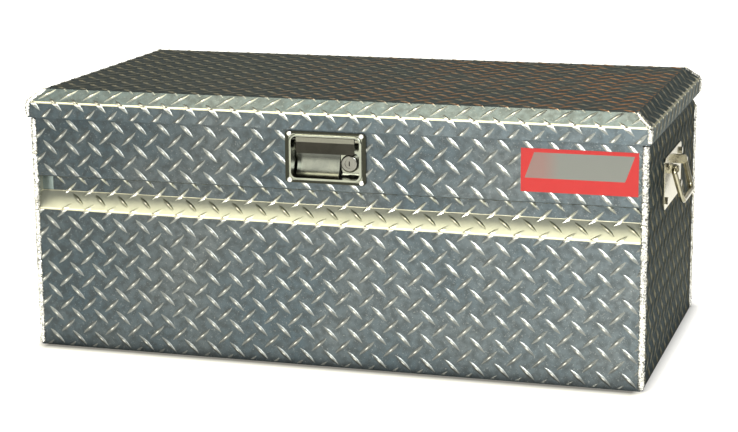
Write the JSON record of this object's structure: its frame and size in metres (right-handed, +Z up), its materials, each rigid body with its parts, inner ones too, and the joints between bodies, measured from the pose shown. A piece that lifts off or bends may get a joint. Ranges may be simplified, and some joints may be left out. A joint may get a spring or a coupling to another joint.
{
  "type": "truck tool box",
  "caption": "Lidded tread-plate tool chest for a truck bed or trailer, with a flush paddle latch, gas props, a rear piano hinge and end handles.",
  "frame": {"origin": "on the floor line, below the middle of the box", "axes": "+X along the front to the right as seen from the front, +Y from the front to the hinge, +Z up"},
  "size_m": [0.969, 0.482, 0.3895],
  "materials": {
    "tread_plate": "bright rolled tread plate",
    "lid_plate": "bright rolled tread plate",
    "smooth_aluminium": "mill finish",
    "weld_bead": "as welded, lightly brushed",
    "stainless": "brushed",
    "rivet_aluminium": "satin",
    "latch_chrome": "polished",
    "lock_nickel": "satin nickel",
    "zinc_steel": "zinc plated",
    "handle_chrome": "bright plated, slightly gold",
    "seal_rubber": "matt black",
    "decal_red": "gloss vinyl",
    "prop_black": "gloss black",
    "prop_chrome": "polished"
  },
  "bodies": {
    "box": {"channel_patch": "smooth_aluminium", "corner_welds": "weld_bead", "floor_panel": "tread_plate", "front_decal": "decal_red", "front_panel": "tread_plate", "handle_bolts_left": "handle_chrome", "handle_bolts_right": "handle_chrome", "handle_nuts_left": "zinc_steel", "handle_nuts_right": "zinc_steel", "handle_plate_left": "handle_chrome", "handle_plate_right": "handle_chrome", "hinge_leaf_body": "stainless", "hinge_pin": "stainless", "hinge_rivets_body": "rivet_aluminium", "hook_pin": "zinc_steel", "latch_dish": "latch_chrome", "latch_gasket": "seal_rubber", "latch_housing": "stainless", "latch_nuts": "zinc_steel", "latch_screws": "latch_chrome", "lock_cylinder": "lock_nickel", "paddle_pin": "zinc_steel", "paddle_spring": "zinc_steel", "prop_foot_bracket_left": "zinc_steel", "prop_foot_bracket_right": "zinc_steel", "rear_panel": "tread_plate", "rim_frame": "smooth_aluminium", "rim_seal": "seal_rubber", "side_panel_left": "tread_plate", "side_panel_right": "tread_plate"},
    "lid": {"lid_shell": "lid_plate", "lid_inner_pan": "smooth_aluminium", "lid_stiffeners": "smooth_aluminium", "hinge_leaf_lid": "stainless", "hinge_rivets_lid": "rivet_aluminium", "striker_bracket": "stainless", "striker_pin": "stainless", "prop_head_bracket_left": "zinc_steel", "prop_head_bracket_right": "zinc_steel"},
    "paddle": {"latch_paddle": "latch_chrome"},
    "trip": {"trip_slide": "zinc_steel"},
    "hook": {"latch_hook": "zinc_steel"},
    "lock": {"lock_plug": "lock_nickel", "lock_cam": "zinc_steel"},
    "prop_tube_left": {"prop_tube_left": "prop_black"},
    "prop_tube_right": {"prop_tube_right": "prop_black"},
    "prop_rod_left": {"prop_rod_left": "prop_chrome", "prop_rod_end_left": "prop_chrome"},
    "prop_rod_right": {"prop_rod_right": "prop_chrome", "prop_rod_end_right": "prop_chrome"},
    "bail_left": {"handle_bail_left": "handle_chrome"},
    "bail_right": {"handle_bail_right": "handle_chrome"}
  },
  "joints": [
    {"name": "lid_hinge", "type": "hinge", "parent": "box", "child": "lid", "pos_m": [0, 0.238, 0.3445], "axis": [-1, 0, 0], "range_deg": [0, 80]},
    {"name": "paddle_pull", "type": "hinge", "parent": "box", "child": "paddle", "pos_m": [0, -0.228, 0.333], "axis": [-1, 0, 0], "range_deg": [0, 30], "stiffness_Nm_per_rad": 0.3},
    {"name": "trip_drop", "type": "slide", "parent": "box", "child": "trip", "axis": [0, 0, -1], "range_m": [0, 0.0118]},
    {"name": "hook_turn", "type": "hinge", "parent": "box", "child": "hook", "pos_m": [-0.008, -0.203, 0.322], "axis": [0, -1, 0], "range_deg": [-30, 0], "stiffness_Nm_per_rad": 0.05},
    {"name": "lock_turn", "type": "hinge", "parent": "box", "child": "lock", "pos_m": [0.0305, -0.21, 0.2986], "axis": [0, -1, 0], "range_deg": [-90, 0]},
    {"name": "prop_swing_left", "type": "hinge", "parent": "box", "child": "prop_tube_left", "pos_m": [-0.424, 0.193, 0.3045], "axis": [-1, 0, 0], "range_deg": [0, 76.7]},
    {"name": "prop_slide_left", "type": "slide", "parent": "prop_tube_left", "child": "prop_rod_left", "axis": [0, -0.9441, 0.3297], "range_m": [0, 0.0768]},
    {"name": "bail_swing_left", "type": "hinge", "parent": "box", "child": "bail_left", "pos_m": [-0.4675, 0, 0.279], "axis": [0, 1, 0], "range_deg": [0, 95]},
    {"name": "prop_swing_right", "type": "hinge", "parent": "box", "child": "prop_tube_right", "pos_m": [0.424, 0.193, 0.3045], "axis": [-1, 0, 0], "range_deg": [0, 76.7]},
    {"name": "prop_slide_right", "type": "slide", "parent": "prop_tube_right", "child": "prop_rod_right", "axis": [0, -0.9441, 0.3297], "range_m": [0, 0.0768]},
    {"name": "bail_swing_right", "type": "hinge", "parent": "box", "child": "bail_right", "pos_m": [0.4675, 0, 0.279], "axis": [0, -1, 0], "range_deg": [0, 95]}
  ],
  "couplings": [
    {"joint": "trip_drop", "follows": "paddle_pull", "m_per_rad": 0.021963},
    {"joint": "prop_swing_left", "follows": "lid_hinge", "ratio": 0.95639},
    {"joint": "prop_slide_left", "follows": "lid_hinge", "m_per_rad": 0.054757},
    {"joint": "prop_swing_right", "follows": "lid_hinge", "ratio": 0.95639},
    {"joint": "prop_slide_right", "follows": "lid_hinge", "m_per_rad": 0.054757}
  ]
}
